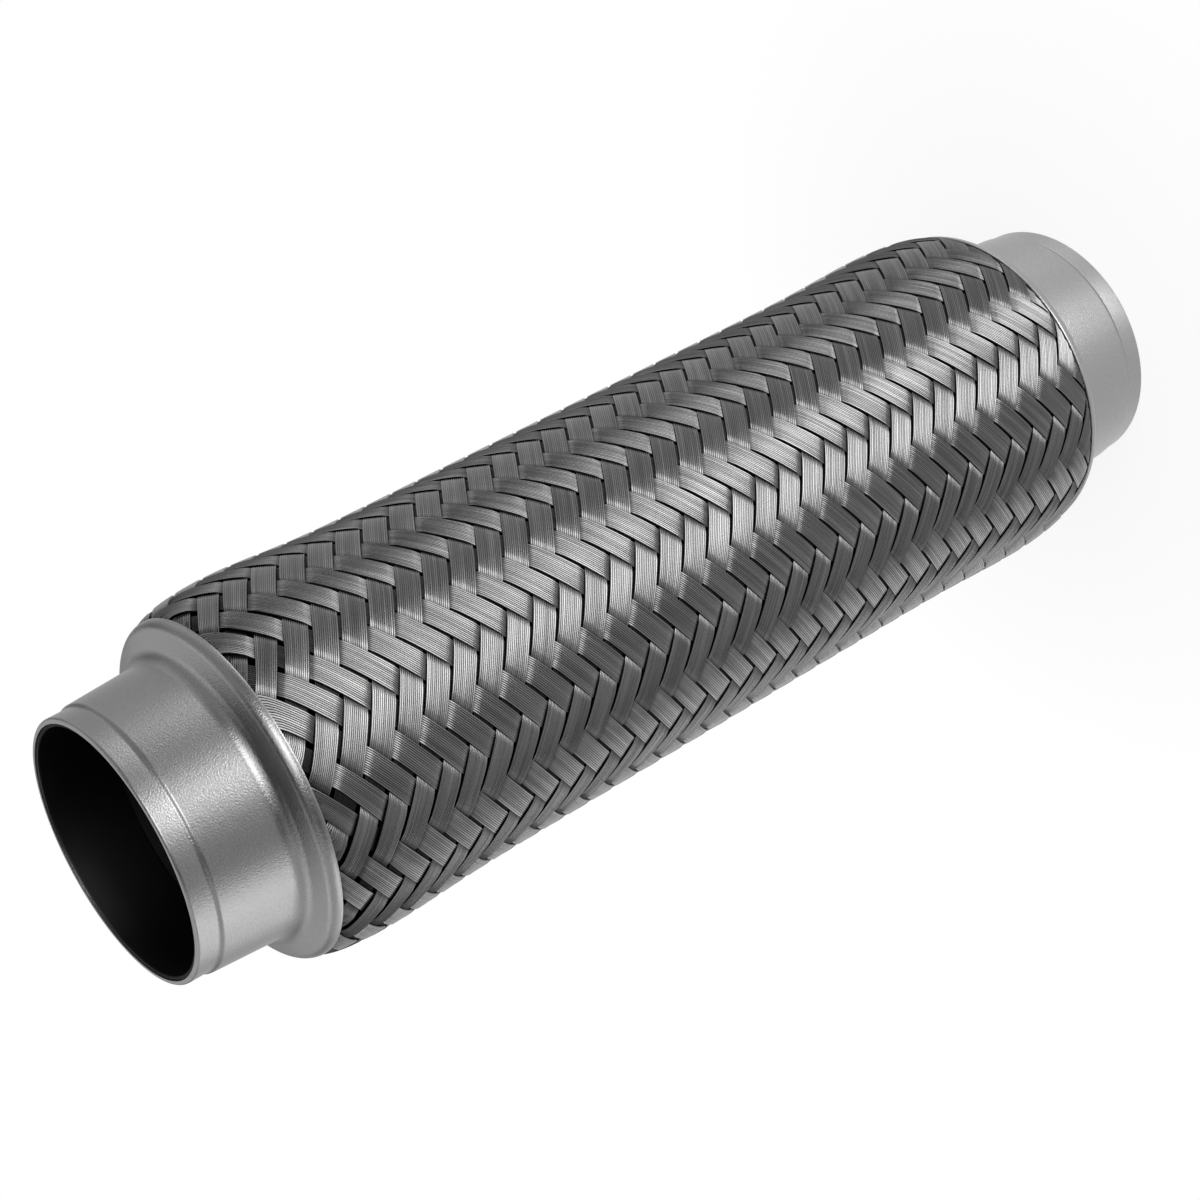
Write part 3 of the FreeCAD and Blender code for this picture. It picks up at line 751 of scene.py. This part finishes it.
def cap_material(name, colour):
    """Satin pressed sheet with a fine sandy grain."""
    material, tree, shader = new_material(name, Metallic=1.0, Roughness=0.33)
    grain = add_node(tree, "Group", node_tree=mottle_group(),
                     Scale=3000.0, Detail=2.0, Darkest=0.8, Lightest=1.2)
    bump = add_node(tree, "Bump", Strength=0.5, Distance=0.0001, Height=grain.outputs["Height"])
    feed(tree, shader.inputs["Normal"], bump.outputs[0])
    mixed = compute_vector(tree, "SCALE", colour, Scale=grain.outputs["Tone"])
    feed(tree, shader.inputs["Base Color"], mixed)
    return material


def plain_steel(name, colour, roughness):
    """Steel with soft blotches."""
    material, tree, shader = new_material(name, Metallic=1.0, Roughness=roughness)
    blotch = add_node(tree, "Group", node_tree=mottle_group(),
                      Scale=220.0, Detail=3.0, Darkest=0.7, Lightest=1.3)
    mixed = compute_vector(tree, "SCALE", colour, Scale=blotch.outputs["Tone"])
    feed(tree, shader.inputs["Base Color"], mixed)
    return material


def sleeve_material(finish):
    """Bright cut edge round a bore whose dark colour is painted shade."""
    material, tree, shader = new_material("sleeve_cut_steel", Metallic=1.0, Roughness=0.35)
    place = add_node(tree, "TexCoord")
    flat = compute_vector(tree, "MULTIPLY", place.outputs["Object"], (1, 1, 0))
    distance = compute_vector(tree, "LENGTH", flat)
    edge = remap(tree, distance, [BORE_RADIUS + reach for reach in CUT_EDGE], (0.0, 1.0))
    mix = add_node(tree, "Mix", edge, data_type="RGBA")
    colours = [socket for socket in mix.inputs if socket.type == "RGBA"]
    for socket, colour in zip(colours, (finish.bore_painted_shade_steel, finish.sleeve_steel)):
        socket.default_value = (*colour, 1)
    result = [socket for socket in mix.outputs if socket.type == "RGBA"][0]
    feed(tree, shader.inputs["Base Color"], result)
    return material


def dress(node, material):
    """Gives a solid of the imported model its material."""
    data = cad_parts[node].data
    data.materials.clear()
    data.materials.append(material)


class PIPE_OT_dress_steel(bpy.types.Operator):
    """Gives the sleeves, bellows and liner their steel"""

    bl_idname = "pipe.dress_steel"
    bl_label = "Dress Steel"

    def execute(self, context):
        finish = settings("pipe_finish")
        sleeves = sleeve_material(finish)
        # The bellows' near-black colour is painted shade
        bellows = plain_steel("bellows_thin_steel", finish.bellows_steel, 0.4)
        # The liner takes the bore's painted shade colour
        liner = plain_steel("liner_painted_shade_steel", finish.bore_painted_shade_steel, 0.55)
        for end in ("upper", "lower"):
            dress("inner_sleeve_" + end, sleeves)
        dress("bellows_inner_ply", bellows)
        dress("bellows_outer_ply", bellows)
        dress("interlock_liner", liner)
        return {"FINISHED"}


# Studio

# Softboxes: name, azimuth and elevation from the pipe's middle, width and height in
# degrees as the pipe sees them, and brightness where 1 is white.  The first set lights
# everything but the end caps, and the second set lights only them.
SLEEVE_LIGHTS = (
    ("low_front_softbox", 0.0, -25.0, 28.0, 28.0, 6.3),
    ("middle_front_softbox", 0.0, 0.0, 28.0, 28.0, 4.4),
    ("middle_left_softbox", 30.0, 0.0, 28.0, 28.0, 3.7),
    ("high_front_softbox", 0.0, 25.0, 28.0, 28.0, 2.0),
    ("high_left_softbox", 30.0, 25.0, 28.0, 28.0, 2.0),
    ("high_right_softbox", -30.0, 25.0, 28.0, 28.0, 1.3),
    ("left_softbox", 90.0, 0.0, 28.0, 28.0, 1.2),
    ("right_softbox", -90.0, 0.0, 28.0, 28.0, 0.8),
    ("back_softbox", -120.0, -25.0, 28.0, 28.0, 1.4),
)
CAP_LIGHTS = (
    ("cap_low_softbox", 0.0, -25.0, 26.0, 28.0, 9.5),
    ("cap_high_softbox", 0.0, 25.0, 28.0, 28.0, 9.1),
    ("cap_top_softbox", 0.0, 52.0, 28.0, 20.0, 3.0),
    ("cap_side_softbox", 60.0, -25.0, 28.0, 28.0, 3.0),
    ("cap_level_softbox", -90.0, 0.0, 28.0, 28.0, 1.6),
    ("cap_low_back_softbox", -120.0, -25.0, 28.0, 28.0, 1.6),
    ("cap_back_softbox", 176.0, 50.0, 80.0, 70.0, 1.1),
    ("cap_left_softbox", 87.0, 28.0, 70.0, 70.0, 0.7),
    ("cap_right_softbox", -103.0, 20.0, 70.0, 80.0, 1.1),
)
# How far the softboxes stand from the pipe's middle, in metres
LIGHT_DISTANCE = 1.0
SENSOR_WIDTH = 36.0
FLOOR_SIDES = 128
FLOOR_TONE = 0.9
# Share of plain white in the floor as the camera sees it, at its middle and its edge
FLOOR_WHITE = (0.8, 1.0)
# Upward parts of a direction between which reflections of the room go dark, and the
# brightness there
ROOM_SPAN = (-0.35, 0.3)
ROOM_TONES = (0.85, 0.0)
ROOM_LIGHT = 0.5
WHITE = (1, 1, 1, 1)


def add_softbox(name, azimuth, elevation, width, height, radiance):
    """A rectangular lamp that faces the pipe's middle and isn't seen itself."""
    turn = math.radians(azimuth)
    rise = math.radians(elevation)
    place = (LIGHT_DISTANCE * math.cos(rise) * math.cos(turn),
             LIGHT_DISTANCE * math.cos(rise) * math.sin(turn),
             PIPE_MIDDLE + LIGHT_DISTANCE * math.sin(rise))
    bpy.ops.object.light_add(type="AREA", location=place,
                             rotation=(math.pi / 2 - rise, 0, turn + math.pi / 2))
    light = bpy.context.object
    light.name = name
    light.data.shape = "RECTANGLE"
    light.data.size = 2 * LIGHT_DISTANCE * math.tan(math.radians(width) / 2)
    light.data.size_y = 2 * LIGHT_DISTANCE * math.tan(math.radians(height) / 2)
    light.data.energy = radiance * math.pi * light.data.size * light.data.size_y
    light.visible_camera = False
    return light


def light_only(kind, pieces, boxes):
    """Adds softboxes whose light falls on these pieces alone."""
    receivers = bpy.data.collections.new("lit_with_" + kind)
    for piece in pieces:
        receivers.objects.link(piece)
    for box in boxes:
        add_softbox(*box).light_linking.receiver_collection = receivers


def seen_rays(tree):
    """The Light Path's outputs, and 1 for camera, glossy and transmission rays."""
    rays = add_node(tree, "LightPath").outputs
    seen = compute(tree, "ADD", rays["Is Camera Ray"], rays["Is Glossy Ray"], use_clamp=True)
    return rays, compute(tree, "ADD", seen, rays["Is Transmission Ray"], use_clamp=True)


def floor_material(radius):
    """Pale floor that fades to the white background at its edge."""
    material, tree, shader = new_material(
        "pale_floor", Base_Color=(FLOOR_TONE, FLOOR_TONE, FLOOR_TONE, 1), Roughness=0.9)
    place = add_node(tree, "TexCoord")
    distance = compute_vector(tree, "LENGTH", place.outputs["Object"])
    white = remap(tree, distance, (0.0, radius), FLOOR_WHITE)
    share = compute(tree, "MULTIPLY", seen_rays(tree)[1], white)
    glow = add_node(tree, "Emission", Strength=1.0)
    blend = add_node(tree, "MixShader", share, shader.outputs[0], glow.outputs[0])
    feed(tree, tree.nodes["Material Output"].inputs["Surface"], blend.outputs[0])
    return material


def add_floor(radius):
    """A round floor that casts no shadow and isn't seen in the steel."""
    bpy.ops.mesh.primitive_circle_add(vertices=FLOOR_SIDES, radius=radius, fill_type="NGON")
    floor = bpy.context.object
    floor.name = "studio_floor"
    floor.data.materials.append(floor_material(radius))
    floor.visible_glossy = False
    floor.visible_shadow = False
    return floor


def studio_world():
    """Soft room light round the pipe, white where the camera sees it."""
    world = bpy.data.worlds.new("studio_world")
    world.use_nodes = True
    tree = world.node_tree
    rays, seen = seen_rays(tree)
    direction = add_node(tree, "TexCoord")
    upward = add_node(tree, "SeparateXYZ", direction.outputs["Generated"]).outputs["Z"]
    room = remap(tree, upward, ROOM_SPAN, ROOM_TONES)
    seen_room = tree.nodes["Background"]
    seen_room.inputs["Color"].default_value = WHITE
    feed(tree, seen_room.inputs["Strength"],
         compute(tree, "MAXIMUM", rays["Is Camera Ray"], room))
    soft_room = add_node(tree, "Background", Color=WHITE, Strength=ROOM_LIGHT)
    blend = add_node(tree, "MixShader", seen, soft_room.outputs[0], seen_room.outputs[0])
    feed(tree, tree.nodes["World Output"].inputs["Surface"], blend.outputs[0])
    return world


class PIPE_OT_set_studio(bpy.types.Operator):
    """Sets the camera, floor, world and soft lights"""

    bl_idname = "pipe.set_studio"
    bl_label = "Set Studio"

    def execute(self, context):
        studio = settings("pipe_studio")
        deselect_all()
        bpy.ops.object.camera_add(location=studio.camera_place, rotation=studio.camera_turn)
        camera = context.object
        camera.data.lens = studio.lens
        camera.data.sensor_width = SENSOR_WIDTH
        context.scene.camera = camera
        floor = add_floor(studio.floor_radius)
        context.scene.world = studio_world()
        caps = [bpy.data.objects["cap_pressed_" + end] for end in ("upper", "lower")]
        others = [piece for piece in bpy.data.objects
                  if piece.type == "MESH" and piece not in caps]
        light_only("caps", caps, CAP_LIGHTS)
        light_only("sleeve", others, SLEEVE_LIGHTS)
        context.scene.view_settings.view_transform = "Standard"
        return {"FINISHED"}


class PIPE_PT_sidebar(bpy.types.Panel):
    """Sizes, finishes and studio of the flex pipe"""

    bl_label = "Flex Pipe"
    bl_idname = "PIPE_PT_sidebar"
    bl_space_type = "VIEW_3D"
    bl_region_type = "UI"
    bl_category = "Flex Pipe"

    def draw(self, context):
        for operator in OPERATORS:
            self.layout.operator(operator.bl_idname)
        for group in GROUPS:
            box = self.layout.box()
            for name in GROUPS[group].__annotations__:
                box.prop(getattr(context.scene, group), name)


OPERATORS = (PIPE_OT_weave_sleeve, PIPE_OT_press_caps, PIPE_OT_dress_steel, PIPE_OT_set_studio)
GROUPS = {"pipe_sleeve": SleeveSizes, "pipe_caps": CapSizes,
          "pipe_finish": FinishColours, "pipe_studio": StudioSettings}


def register():
    """Registers the classes and gives the scene its property groups."""
    for kind in (*GROUPS.values(), *OPERATORS, PIPE_PT_sidebar):
        bpy.utils.register_class(kind)
    for name, group in GROUPS.items():
        setattr(bpy.types.Scene, name, PointerProperty(type=group))


def unregister():
    """Takes away what register made."""
    for name in GROUPS:
        delattr(bpy.types.Scene, name)
    for kind in (PIPE_PT_sidebar, *OPERATORS, *GROUPS.values()):
        bpy.utils.unregister_class(kind)


def main():
    """Builds the pipe's looks and the studio."""
    register()
    bpy.ops.pipe.weave_sleeve()
    bpy.ops.pipe.press_caps()
    bpy.ops.pipe.dress_steel()
    bpy.ops.pipe.set_studio()


if __name__ == "__main__":
    main()
